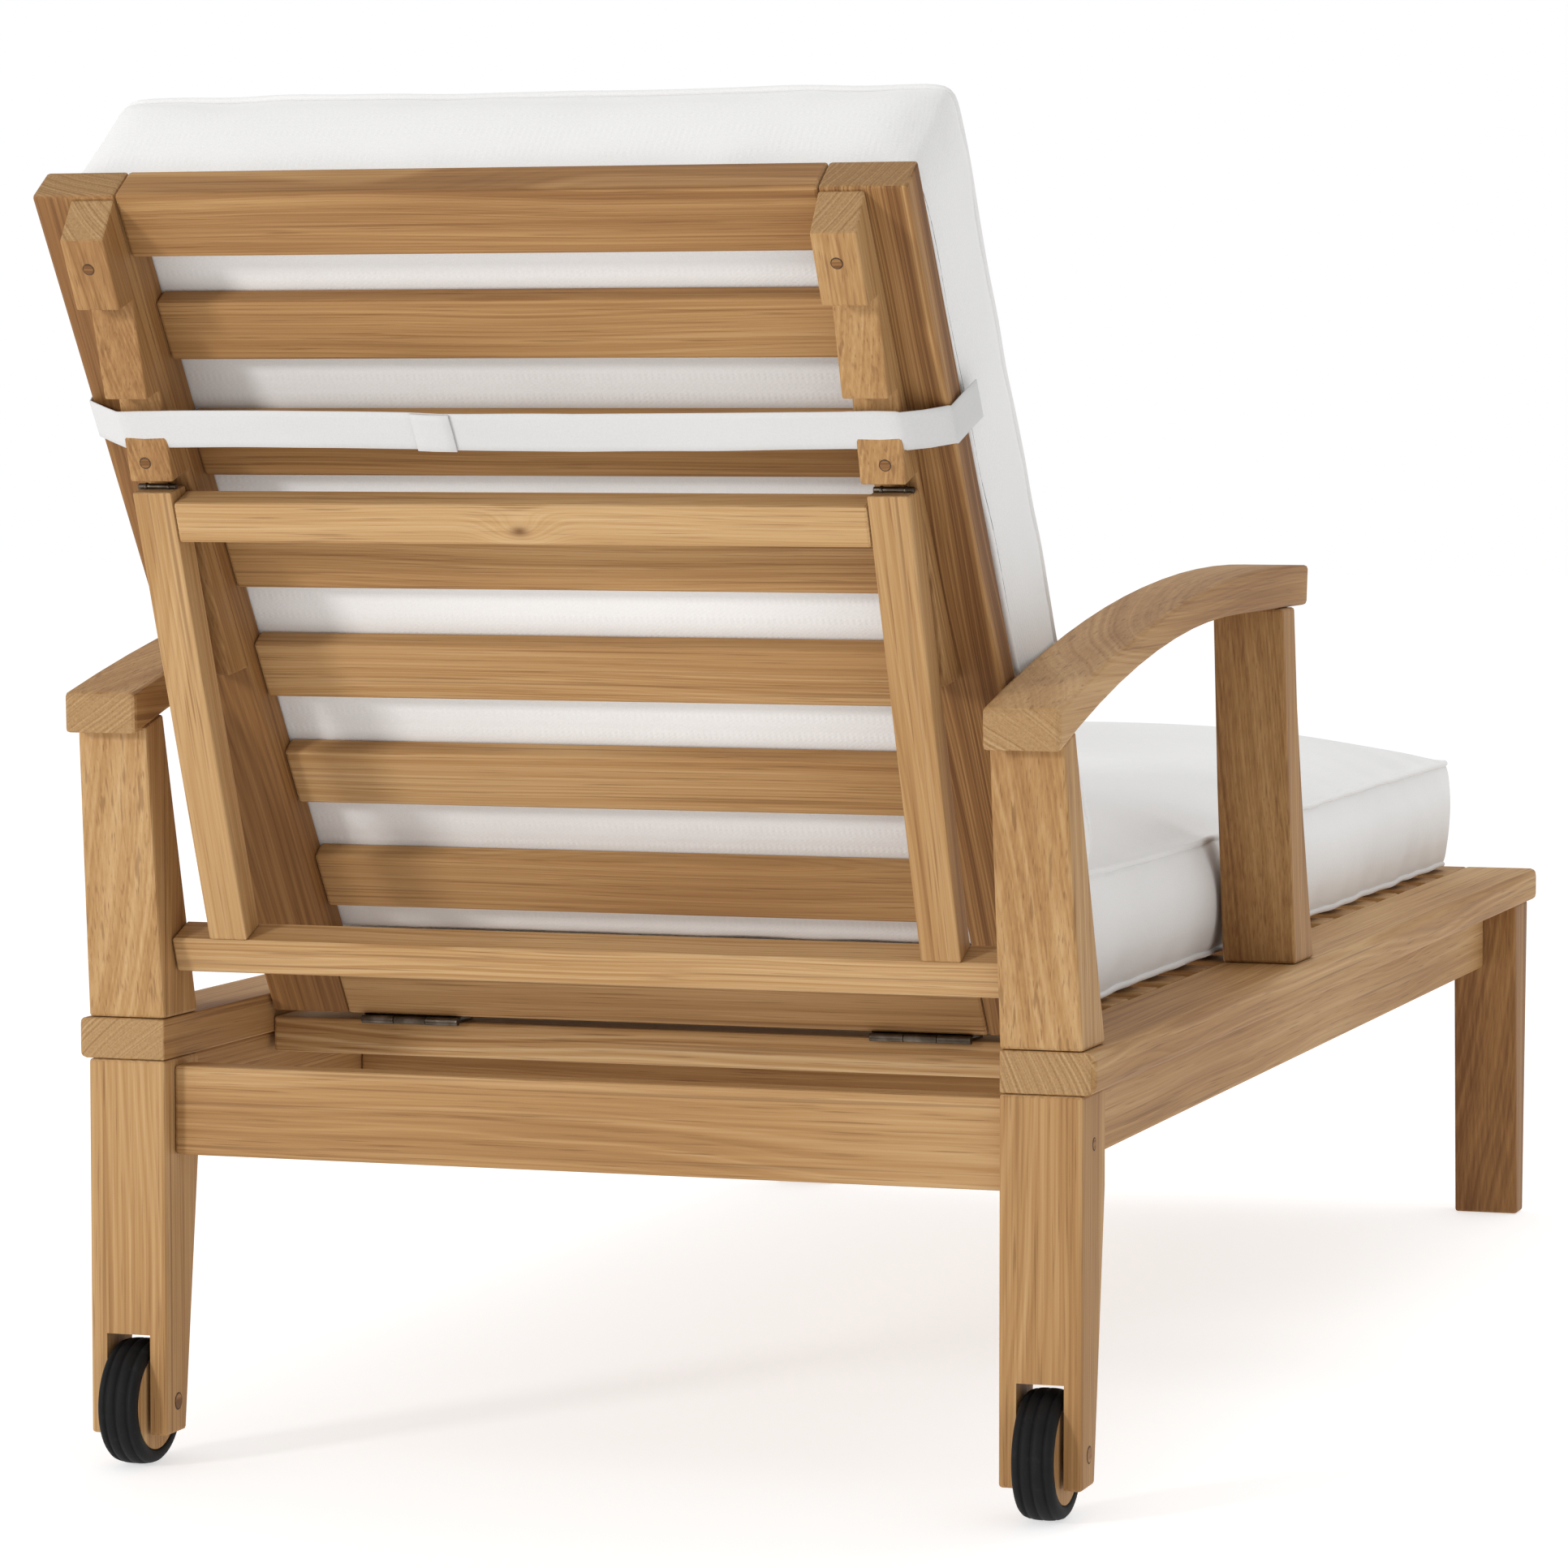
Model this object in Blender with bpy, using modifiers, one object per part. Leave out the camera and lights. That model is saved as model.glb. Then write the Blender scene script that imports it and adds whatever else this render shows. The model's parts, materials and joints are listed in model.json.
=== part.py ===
"""Reclining sun lounger in teak: slatted seat, arched arms, a backrest on butt hinges held by a
swinging prop frame, stepped racks behind the stiles, rear wheels in slotted legs, box cushions.

Frame: metres, +Z up. X across, +X to the sitter's left; the foot end points to -Y, the backrest and
wheels to +Y. Z 0 is the ground. Lengths below are metres; y values count from the rear legs' backs.
"""

import math

import bmesh
import bpy
from mathutils import Matrix, Vector

GAP = 0.0003            # left between two pieces that touch
EDGE = 0.0022           # eased edge of a sawn board
REAR_Y = 0.66407         # y of the rear legs' back faces in the part's frame

# Seat frame
LEG_OUT = 0.350         # half width over the legs' outer faces
LEG_WIDTH = 0.056
LEG_IN = LEG_OUT - LEG_WIDTH
RAIL_OUT = 0.358        # side rails stand proud of the legs
RAIL_BOTTOM, RAIL_TOP = 0.280, 0.308
FOOT_END = -1.544       # y of the rails' foot ends
FOOT_RAIL_WIDTH = 0.098
APRON_OUT, APRON_THICK = 0.321, 0.023
SIDE_APRON_BOTTOM = 0.223
REAR_APRON = (-0.040, -0.016, 0.214, 0.275)      # y low, y high, z low, z high
MID_BRACE = (-0.381, -0.359, 0.226, 0.278)
HINGE_RAIL = (-0.254, -0.187, 0.2665, 0.2915)
SLAT_COUNT, SLAT_WIDTH, SLAT_THICK = 14, 0.049, 0.015

# Legs and wheels
REAR_LEG_FOOT = 0.0225
WHEEL_RADIUS, WHEEL_WIDTH = 0.043, 0.028
HUB_RADIUS = 0.032
AXLE_Y, AXLE_RADIUS = -0.019, 0.005
SLOT_WIDTH, SLOT_TOP = 0.032, 0.0915
FRONT_LEG_BACK = -1.484

# Arms
ARM_WIDTH = 0.052
ARM_REAR, ARM_FRONT = 0.043, -0.662

# Backrest: local y runs square out of its back, local z up along the stiles, from the hinge pin
LEAN = math.radians(34.34)
HINGE_PIN = (-0.1804, 0.2925)                    # y, z
PIN_RADIUS, KNUCKLE_RADIUS = 0.0013, 0.0029
LEAF_THICK, LEAF_LENGTH, LEAF_INNER, LEAF_OUTER = 0.0016, 0.026, 0.151, 0.223
BACK_FACE = -0.0039     # stiles' back face, measured from the pin
STILE_BOTTOM, STILE_TOP = 0.0010, 0.6797
STILE_IN, STILE_OUT = 0.2345, 0.2915
FRAME_THICK = 0.029
TOP_RAIL_HEIGHT, BOTTOM_RAIL_HEIGHT = 0.047, 0.046
BACK_SLAT_COUNT, BACK_SLAT_WIDTH, BACK_SLAT_PITCH = 6, 0.0450, 0.09145
FIRST_BACK_SLAT_TOP = 0.5895
RACK_IN, RACK_OUT = 0.2345, 0.2645
RACK_TEETH = ((0.034, 0.614, 0.015, 0.608), (0.032, 0.544, 0.013, 0.538), (0.030, 0.478, 0.0055, 0.470))

# Prop frame: local z runs up the struts, local y out of their backs, from the pivot
PROP_LEAN = math.radians(21.5)
PROP_PIVOT = (-0.0290, 0.3555)
PROP_BACK, PROP_BAR_FRONT, STRUT_FRONT = 0.014, -0.014, -0.010
BAR_HALF = 0.0125
STRUT_IN, STRUT_OUT = 0.2375, 0.2650
STRUT_TOP_BACK, STRUT_TOP_FRONT = 0.3395, 0.3350
CROSSBAR_TOP, CROSSBAR_HEIGHT = 0.332, 0.028
TENON_RADIUS, TENON_LENGTH = 0.0049, 0.018

# Cushions
SEAT_PAD = ((-1.508, 0.3086), (-0.222, 0.3086), (-0.222, 0.372), (-0.2667, 0.4034), (-1.530, 0.408))
SEAT_PAD_HALF, BACK_PAD_HALF = 0.285, 0.288
BACK_PAD_BOTTOM, BACK_PAD_TOP, BACK_PAD_THICK = 0.0490, 0.6680, 0.115

for old in list(bpy.data.objects):
    bpy.data.objects.remove(old, do_unlink=True)

parts = bpy.data.collections.new("reclining_sun_lounger")
cutters = bpy.data.collections.new("cutters")
for collection in (parts, cutters):
    bpy.context.scene.collection.children.link(collection)


def finish_material(name, colour, roughness, metallic=0.0):
    material = bpy.data.materials.new(name)
    material.use_nodes = True
    shader = material.node_tree.nodes["Principled BSDF"]
    shader.inputs["Base Color"].default_value = (*colour, 1.0)
    shader.inputs["Roughness"].default_value = roughness
    shader.inputs["Metallic"].default_value = metallic
    return material


TEAK = finish_material("teak", (0.50, 0.31, 0.15), 0.55)
TEAK_PALE = finish_material("teak_pale", (0.58, 0.40, 0.21), 0.58)
FABRIC = finish_material("white_fabric", (0.82, 0.81, 0.79), 0.90)
RUBBER = finish_material("black_rubber", (0.02, 0.02, 0.022), 0.75)
STEEL = finish_material("steel", (0.45, 0.43, 0.40), 0.35, 1.0)


def pivot_empty(name, y, z, lean):
    """An empty on a joint's axis, leaning back by the angle; its children use local y and z."""
    empty = bpy.data.objects.new(name, None)
    empty.location = (0.0, REAR_Y + y, z)
    empty.rotation_euler = (-lean, 0.0, 0.0)
    parts.objects.link(empty)
    return empty


seat_frame = pivot_empty("seat_frame", 0.0, 0.0, 0.0)
backrest = pivot_empty("backrest_pivot", *HINGE_PIN, LEAN)
prop = pivot_empty("prop_pivot", *PROP_PIVOT, PROP_LEAN)


def mesh_object(name, mesh, material, parent, collection=parts):
    obj = bpy.data.objects.new(name, mesh)
    collection.objects.link(obj)
    obj.parent = parent
    if collection is cutters:
        obj.hide_render = True
        obj.display_type = "WIRE"
    else:
        mesh.materials.append(material)
    return obj


def ease_edges(obj, width, segments=2, limit=math.radians(30)):
    bevel = obj.modifiers.new("eased_edges", "BEVEL")
    bevel.width = width
    bevel.segments = segments
    bevel.limit_method = "ANGLE"
    bevel.angle_limit = limit
    bevel.use_clamp_overlap = True


def block(name, x, y, z, material, parent, edge=EDGE, segments=2, collection=parts):
    """A sawn board between the low and high x, y and z of its parent's frame."""
    lows, highs = zip(x, y, z)
    size = [high - low for low, high in zip(lows, highs)]
    bm = bmesh.new()
    bmesh.ops.create_cube(bm, size=1.0, matrix=Matrix.Diagonal((*size, 1.0)))
    mesh = bpy.data.meshes.new(name)
    bm.to_mesh(mesh)
    bm.free()
    obj = mesh_object(name, mesh, material, parent, collection)
    obj.location = [(low + high) / 2 for low, high in zip(lows, highs)]
    if edge:
        ease_edges(obj, edge, segments)
    return obj


def profile_board(name, outline, x_low, x_high, material, parent, edge=EDGE, segments=2):
    """A board cut to a side outline of (y, z) points, and as thick as from x_low to x_high."""
    curve = bpy.data.curves.new(name + "_outline", "CURVE")
    curve.dimensions = "2D"
    curve.fill_mode = "BOTH"
    curve.extrude = (x_high - x_low) / 2
    spline = curve.splines.new("POLY")
    spline.points.add(len(outline) - 1)
    for point, (y, z) in zip(spline.points, outline):
        point.co = (y, z, 0.0, 1.0)
    spline.use_cyclic_u = True
    guide = bpy.data.objects.new(name + "_outline", curve)
    cutters.objects.link(guide)
    bpy.context.view_layer.update()
    mesh = bpy.data.meshes.new_from_object(guide.evaluated_get(bpy.context.evaluated_depsgraph_get()))
    bpy.data.objects.remove(guide, do_unlink=True)
    bm = bmesh.new()
    bm.from_mesh(mesh)
    bmesh.ops.remove_doubles(bm, verts=bm.verts, dist=1e-6)
    bmesh.ops.recalc_face_normals(bm, faces=bm.faces)
    flat = [e for e in bm.edges if len(e.link_faces) == 2 and e.calc_face_angle(0.0) < 1e-4]
    bmesh.ops.dissolve_edges(bm, edges=flat, use_verts=False)
    bm.to_mesh(mesh)
    bm.free()
    mesh.materials.clear()
    mesh.name = name
    obj = mesh_object(name, mesh, material, parent)
    obj.rotation_euler = (math.pi / 2, 0.0, math.pi / 2)
    obj.location = ((x_low + x_high) / 2, 0.0, 0.0)
    if edge:
        ease_edges(obj, edge, segments)
    return obj


def round_bar(name, radius, x_low, x_high, y, z, material, parent, collection=parts, sides=24):
    """A round bar or a drilled hole's cutter along X."""
    bm = bmesh.new()
    bmesh.ops.create_cone(bm, cap_ends=True, segments=sides, radius1=radius, radius2=radius,
                          depth=x_high - x_low, matrix=Matrix.Rotation(math.pi / 2, 4, "Y"))
    mesh = bpy.data.meshes.new(name)
    bm.to_mesh(mesh)
    bm.free()
    obj = mesh_object(name, mesh, material, parent, collection)
    obj.location = ((x_low + x_high) / 2, y, z)
    mesh.shade_smooth()
    mesh.set_sharp_from_angle(angle=math.radians(40))
    return obj


def boolean(obj, other, operation):
    modifier = obj.modifiers.new(other.name, "BOOLEAN")
    modifier.operation = operation
    modifier.object = other


def mirrored(side, low, high):
    """An x range on the +X side, or its mirror image on the -X side."""
    return (low, high) if side > 0 else (-high, -low)


def arm_top(y):
    return 0.6056 - 0.1953 * (y + 0.575) ** 2


def arm_underside(y):
    return 0.5745 - 0.2941 * max(y + 0.450, 0.0) ** 2


def spaced(first, last, count):
    return [first + (last - first) * i / (count - 1) for i in range(count)]


def side_frame(side, hand):
    """Rail, apron, legs, arm posts and armrest of one side."""
    rail = block(f"side_rail_{hand}", mirrored(side, LEG_IN, RAIL_OUT), (FOOT_END, 0.0),
                 (RAIL_BOTTOM, RAIL_TOP), TEAK, seat_frame, edge=0.006, segments=3)
    rail.modifiers[0].limit_method = "WEIGHT"
    weights = rail.data.attributes.new("bevel_weight_edge", "FLOAT", "EDGE")
    outer = side * (RAIL_OUT - LEG_IN) / 2
    for edge in rail.data.edges:
        ends = [rail.data.vertices[i].co for i in edge.vertices]
        along_outer_face = all(abs(end.x - outer) < 1e-5 for end in ends)
        weights.data[edge.index].value = 1.0 if along_outer_face else 0.25

    block(f"side_apron_{hand}", mirrored(side, APRON_OUT - APRON_THICK, APRON_OUT),
          (FRONT_LEG_BACK + GAP, -0.058 - GAP), (SIDE_APRON_BOTTOM, RAIL_BOTTOM - GAP), TEAK, seat_frame)

    leg_x = mirrored(side, LEG_IN, LEG_OUT)
    leg_top = RAIL_BOTTOM - GAP
    rear_leg = profile_board(
        f"rear_leg_{hand}",
        [(0.0, leg_top), (-0.058, leg_top), (-0.058, 0.215), (-0.033, REAR_LEG_FOOT), (0.0, REAR_LEG_FOOT)],
        *leg_x, TEAK, seat_frame)
    middle = side * (LEG_IN + LEG_WIDTH / 2)
    slot = block(f"wheel_slot_{hand}", (middle - SLOT_WIDTH / 2, middle + SLOT_WIDTH / 2), (-0.1, 0.05),
                 (-0.05, SLOT_TOP), None, seat_frame, edge=0, collection=cutters)
    boolean(rear_leg, slot, "DIFFERENCE")
    bore = round_bar(f"axle_bore_{hand}", AXLE_RADIUS * 1.02, middle - 0.04, middle + 0.04,
                     AXLE_Y, WHEEL_RADIUS, None, seat_frame, cutters)
    boolean(rear_leg, bore, "DIFFERENCE")

    profile_board(f"front_leg_{hand}",
                  [(FRONT_LEG_BACK, leg_top), (-1.540, leg_top), (-1.529, 0.0), (-1.500, 0.0)],
                  *leg_x, TEAK, seat_frame)

    foot = RAIL_TOP + GAP
    rear_post = profile_board(
        f"rear_arm_post_{hand}",
        [(-0.001, foot), (0.026, arm_underside(0.026) - GAP), (-0.003, arm_underside(-0.003) - GAP),
         (-0.057, foot)],
        *leg_x, TEAK, seat_frame)
    front_post = profile_board(
        f"front_arm_post_{hand}",
        [(-0.609, foot), (-0.588, 0.440), (-0.573, arm_underside(-0.573) - GAP),
         (-0.612, arm_underside(-0.612) - GAP), (-0.620, 0.500), (-0.637, 0.420), (-0.655, 0.355),
         (-0.670, foot)],
        *leg_x, TEAK, seat_frame)
    for post, narrowing in ((rear_post, 0.006), (front_post, 0.0023)):
        for vertex in post.data.vertices:
            if vertex.co.z * side > 0 and vertex.co.y > foot + 0.01:
                vertex.co.z -= side * narrowing * (vertex.co.y - foot) / 0.2
    tenon_bore = round_bar(f"tenon_bore_{hand}", TENON_RADIUS * 1.02,
                           *mirrored(side, LEG_IN - 0.01, LEG_IN + TENON_LENGTH + 0.002),
                           *PROP_PIVOT, None, seat_frame, cutters)
    boolean(rear_post, tenon_bore, "DIFFERENCE")

    top_line = [(y, arm_top(y)) for y in spaced(ARM_REAR, ARM_FRONT, 15)]
    under_line = [(y, arm_underside(y)) for y in spaced(ARM_FRONT + 0.004, ARM_REAR - 0.001, 15)]
    profile_board(f"armrest_{hand}", top_line + under_line, *mirrored(side, LEG_IN, LEG_IN + ARM_WIDTH),
                  TEAK, seat_frame, edge=0.003)


def seat():
    """Cross members and slats between the two side rails."""
    across = (-LEG_IN + GAP, LEG_IN - GAP)
    block("rear_apron", across, REAR_APRON[:2], REAR_APRON[2:], TEAK, seat_frame)
    inside = APRON_OUT - APRON_THICK - GAP
    block("mid_brace", (-inside, inside), MID_BRACE[:2], MID_BRACE[2:], TEAK, seat_frame)
    block("hinge_rail", across, HINGE_RAIL[:2], HINGE_RAIL[2:], TEAK, seat_frame)
    foot_back = FOOT_END + FOOT_RAIL_WIDTH
    block("foot_rail", across, (FOOT_END, foot_back), (RAIL_BOTTOM, RAIL_TOP), TEAK, seat_frame)
    space = (HINGE_RAIL[0] - foot_back - SLAT_COUNT * SLAT_WIDTH) / (SLAT_COUNT + 1)
    for i in range(SLAT_COUNT):
        y = HINGE_RAIL[0] - space - i * (SLAT_WIDTH + space)
        block(f"seat_slat_{i + 1:02d}", across, (y - SLAT_WIDTH, y), (RAIL_TOP - SLAT_THICK, RAIL_TOP),
              TEAK, seat_frame)


def wheel(side, hand):
    """Tyre, wooden hub and fixed axle in one rear leg's slot."""
    middle = side * (LEG_IN + LEG_WIDTH / 2)
    half = WHEEL_WIDTH / 2
    bore, shoulder, crown = HUB_RADIUS + GAP, 0.0395, WHEEL_RADIUS
    outline = [(crown, half * 0.35), (crown, -half * 0.35), (crown - 0.0009, -half * 0.75),
               (shoulder, -half), (bore, -half), (bore, half), (shoulder, half), (crown - 0.0009, half * 0.75)]
    mesh = bpy.data.meshes.new(f"tyre_{hand}")
    bm = bmesh.new()
    ring = [bm.verts.new((radius, 0.0, width)) for radius, width in outline]
    for i, vertex in enumerate(ring):
        bm.edges.new((vertex, ring[(i + 1) % len(ring)]))
    bm.to_mesh(mesh)
    bm.free()
    tyre = mesh_object(f"tyre_{hand}", mesh, RUBBER, seat_frame)
    tyre.location = (middle, AXLE_Y, WHEEL_RADIUS)
    tyre.rotation_euler = (0.0, math.pi / 2, 0.0)
    screw = tyre.modifiers.new("turned", "SCREW")
    screw.steps = 36
    screw.render_steps = 36
    screw.use_merge_vertices = True
    screw.merge_threshold = 0.00001
    screw.use_normal_calculate = True
    screw.use_smooth_shade = True

    hub = round_bar(f"wheel_hub_{hand}", HUB_RADIUS, middle - half + 0.001, middle + half - 0.001,
                    AXLE_Y, WHEEL_RADIUS, TEAK_PALE, seat_frame, sides=36)
    hub_bore = round_bar(f"hub_bore_{hand}", AXLE_RADIUS * 1.02, middle - 0.03, middle + 0.03,
                         AXLE_Y, WHEEL_RADIUS, None, seat_frame, cutters)
    boolean(hub, hub_bore, "DIFFERENCE")
    reach = LEG_WIDTH / 2 - 0.004
    round_bar(f"axle_{hand}", AXLE_RADIUS, middle - reach, middle + reach, AXLE_Y, WHEEL_RADIUS,
              STEEL, seat_frame)


def butt_hinge(side, hand):
    """Fixed leaf with its pin and two end knuckles, and moving leaf with the middle knuckle."""
    low, high = mirrored(side, LEAF_INNER, LEAF_OUTER)
    third = (high - low) / 3
    pin_y, pin_z = HINGE_PIN
    leaf_low = HINGE_RAIL[3] + GAP
    fixed = block(f"hinge_fixed_leaf_{hand}", (low, high), (pin_y - KNUCKLE_RADIUS - LEAF_LENGTH, pin_y - 0.0010),
                  (leaf_low, leaf_low + LEAF_THICK), STEEL, seat_frame, edge=0)
    clearance = block(f"middle_gap_{hand}", (low + third - 0.0002, high - third + 0.0002),
                      (pin_y - 0.0040, pin_y + 0.004), (pin_z - 0.004, pin_z + 0.004), None, seat_frame,
                      edge=0, collection=cutters)
    for end, (x0, x1) in enumerate(((low, low + third), (high - third, high))):
        knuckle = round_bar(f"fixed_knuckle_{hand}_{end}", KNUCKLE_RADIUS, x0, x1, pin_y, pin_z, None,
                            seat_frame, cutters, sides=16)
        boolean(fixed, knuckle, "UNION")
    boolean(fixed, clearance, "DIFFERENCE")
    pin = round_bar(f"hinge_pin_{hand}", PIN_RADIUS, low + 0.001, high - 0.001, pin_y, pin_z, None,
                    seat_frame, cutters, sides=16)
    boolean(fixed, pin, "UNION")

    moving = block(f"hinge_moving_leaf_{hand}", (low, high), (-KNUCKLE_RADIUS - LEAF_LENGTH, -0.0042),
                   (STILE_BOTTOM - GAP - LEAF_THICK, STILE_BOTTOM - GAP), STEEL, backrest, edge=0)
    tongue_x = (low + third + 0.0004, high - third - 0.0004)
    tongue = block(f"moving_tongue_{hand}", tongue_x, (-0.008, 0.0), (-0.0008, STILE_BOTTOM - GAP), None,
                   backrest, edge=0, collection=cutters)
    boolean(moving, tongue, "UNION")
    knuckle = round_bar(f"moving_knuckle_{hand}", KNUCKLE_RADIUS - 0.0002, *tongue_x, 0.0, 0.0, None, backrest,
                        cutters, sides=16)
    boolean(moving, knuckle, "UNION")
    bore = round_bar(f"hinge_bore_{hand}", PIN_RADIUS * 1.05, low - 0.01, high + 0.01, 0.0, 0.0, None,
                     backrest, cutters, sides=16)
    boolean(moving, bore, "DIFFERENCE")


def rack_outline():
    """Side outline of a rack: three teeth that rise downwards, and a long tail below them."""
    outline = [(0.0003, 0.676), (0.030, 0.664)]
    for crest, crest_at, root, root_at in RACK_TEETH:
        outline += [(crest, crest_at), (root, root_at)]
    outline += [(0.028, 0.319), (0.0003, 0.305)]
    return [(BACK_FACE + depth, STILE_BOTTOM + height) for depth, height in outline]


def back_frame():
    """Stiles, rails, slats, racks and the hinges' moving sides."""
    y_front = BACK_FACE - FRAME_THICK
    for side, hand in ((1, "left"), (-1, "right")):
        block(f"back_stile_{hand}", mirrored(side, STILE_IN, STILE_OUT), (y_front, BACK_FACE),
              (STILE_BOTTOM, STILE_TOP), TEAK, backrest)
        profile_board(f"rack_{hand}", rack_outline(), *mirrored(side, RACK_IN, RACK_OUT), TEAK, backrest,
                      edge=0.0015)
    across = (-STILE_IN + GAP, STILE_IN - GAP)
    block("back_top_rail", across, (y_front, BACK_FACE), (STILE_TOP - TOP_RAIL_HEIGHT, STILE_TOP), TEAK, backrest)
    block("back_bottom_rail", across, (y_front, BACK_FACE),
          (STILE_BOTTOM, STILE_BOTTOM + BOTTOM_RAIL_HEIGHT), TEAK, backrest)
    for i in range(BACK_SLAT_COUNT):
        top = FIRST_BACK_SLAT_TOP - i * BACK_SLAT_PITCH
        block(f"back_slat_{i + 1}", across, (y_front, y_front + SLAT_THICK), (top - BACK_SLAT_WIDTH, top),
              TEAK, backrest)


def prop_frame():
    """Two struts and an upper crossbar on a foot bar whose round tenons turn in the arm posts."""
    end = LEG_IN - 0.0008
    bar = block("prop_foot_bar", (-end, end), (PROP_BAR_FRONT, PROP_BACK), (-BAR_HALF, BAR_HALF), TEAK_PALE,
                prop, edge=0.0015, segments=1)
    for side, hand in ((1, "left"), (-1, "right")):
        x_range = mirrored(side, end - 0.006, LEG_IN + TENON_LENGTH)
        tenon = round_bar(f"bar_tenon_{hand}", TENON_RADIUS, *x_range, 0.0, 0.0, None, prop, cutters)
        boolean(bar, tenon, "UNION")
        foot = BAR_HALF + GAP
        profile_board(f"prop_strut_{hand}",
                      [(PROP_BACK, foot), (PROP_BACK, STRUT_TOP_BACK), (STRUT_FRONT, STRUT_TOP_FRONT),
                       (STRUT_FRONT, foot)],
                      *mirrored(side, STRUT_IN, STRUT_OUT), TEAK_PALE, prop, edge=0.0015)
    inner = STRUT_IN - GAP
    block("prop_crossbar", (-inner, inner), (STRUT_FRONT, PROP_BACK),
          (CROSSBAR_TOP - CROSSBAR_HEIGHT, CROSSBAR_TOP), TEAK_PALE, prop)


def cushions():
    """Plain closed solids where the two box cushions lie."""
    profile_board("seat_cushion", SEAT_PAD, -SEAT_PAD_HALF, SEAT_PAD_HALF, FABRIC, seat_frame, edge=0.012,
                  segments=3)
    front = BACK_FACE - FRAME_THICK - 0.0006
    block("back_cushion", (-BACK_PAD_HALF, BACK_PAD_HALF), (front - BACK_PAD_THICK, front),
          (BACK_PAD_BOTTOM, BACK_PAD_TOP), FABRIC, backrest, edge=0.012, segments=3)


for side, hand in ((1, "left"), (-1, "right")):
    side_frame(side, hand)
    wheel(side, hand)
    butt_hinge(side, hand)
seat()
back_frame()
prop_frame()
cushions()
bpy.context.view_layer.update()
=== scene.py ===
import json
import math
import random

import bmesh
import bpy
from mathutils import Euler, Matrix, Vector, noise
from mathutils.kdtree import KDTree


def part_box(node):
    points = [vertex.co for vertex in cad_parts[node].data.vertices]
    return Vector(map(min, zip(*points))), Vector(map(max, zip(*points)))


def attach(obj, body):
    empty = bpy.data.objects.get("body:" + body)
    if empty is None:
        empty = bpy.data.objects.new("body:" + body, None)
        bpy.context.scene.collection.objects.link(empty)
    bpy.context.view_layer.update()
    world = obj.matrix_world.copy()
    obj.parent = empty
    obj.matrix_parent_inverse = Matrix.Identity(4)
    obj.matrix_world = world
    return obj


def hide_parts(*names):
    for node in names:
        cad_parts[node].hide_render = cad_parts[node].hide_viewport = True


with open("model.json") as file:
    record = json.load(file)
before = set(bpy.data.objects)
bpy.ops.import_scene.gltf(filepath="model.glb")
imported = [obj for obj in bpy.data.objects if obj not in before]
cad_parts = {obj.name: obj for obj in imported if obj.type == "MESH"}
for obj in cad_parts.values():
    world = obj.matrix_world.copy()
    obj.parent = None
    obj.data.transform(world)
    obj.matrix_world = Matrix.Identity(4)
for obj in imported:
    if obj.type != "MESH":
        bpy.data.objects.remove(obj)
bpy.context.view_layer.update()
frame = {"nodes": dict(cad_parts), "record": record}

joints = {joint["name"]: joint for joint in frame["record"]["behaviour"]["joints"]}

# Camera, daylight and ground.
# The lounger stands on a plain pale floor in soft daylight, seen from behind its backrest. A low lamp
# behind its left side lets the racks throw soft shadows, and a dim panel hangs over the seat.
REAR_LEG_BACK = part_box("rear_leg_left")[1][1]
SKY_ON_OBJECT, SKY_SEEN = 0.69, 1.0
FLOOR_SIDE, FLOOR_DROP = 40.0, 0.0006
camera_data = bpy.data.cameras.new("studio_camera")
camera_data.lens = 129.7
camera_data.sensor_width = 36.0
camera_data.clip_end = 60.0
camera = bpy.data.objects.new("studio_camera", camera_data)
camera.location = (-1.2874, REAR_LEG_BACK + 3.4901, 0.7203)
camera.rotation_euler = (math.radians(86.21), 0.0, math.radians(198.08))
bpy.context.scene.collection.objects.link(camera)
bpy.context.scene.camera = camera
bpy.context.scene.view_settings.view_transform = "Standard"

world = bpy.data.worlds.new("pale_daylight")
world.use_nodes = True
sky = world.node_tree.nodes["Background"]
sky.inputs["Color"].default_value = (1.0, 1.0, 1.0, 1.0)
seen = world.node_tree.nodes.new("ShaderNodeLightPath")
brightness = world.node_tree.nodes.new("ShaderNodeMapRange")
brightness.inputs["To Min"].default_value = SKY_ON_OBJECT
brightness.inputs["To Max"].default_value = SKY_SEEN
world.node_tree.links.new(seen.outputs["Is Camera Ray"], brightness.inputs["Value"])
world.node_tree.links.new(brightness.outputs["Result"], sky.inputs["Strength"])
bpy.context.scene.world = world


def soft_light(name, place, aim, side, watts):
    """A square lamp with its place, what it points at, its side and its power."""
    light = bpy.data.lights.new(name, "AREA")
    light.shape = "SQUARE"
    light.size = side
    light.energy = watts
    lamp = bpy.data.objects.new(name, light)
    lamp.location = place
    lamp.rotation_euler = (Vector(aim) - Vector(place)).to_track_quat("-Z", "Y").to_euler()
    bpy.context.scene.collection.objects.link(lamp)


soft_light("key_light", (2.7, 4.9, 1.75), (0.0, 0.6, 0.5), 0.7, 104.0)
soft_light("overhead_panel", (-0.4, -1.3, 3.6), (0.0, -0.9, 0.4), 2.4, 31.0)

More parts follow.
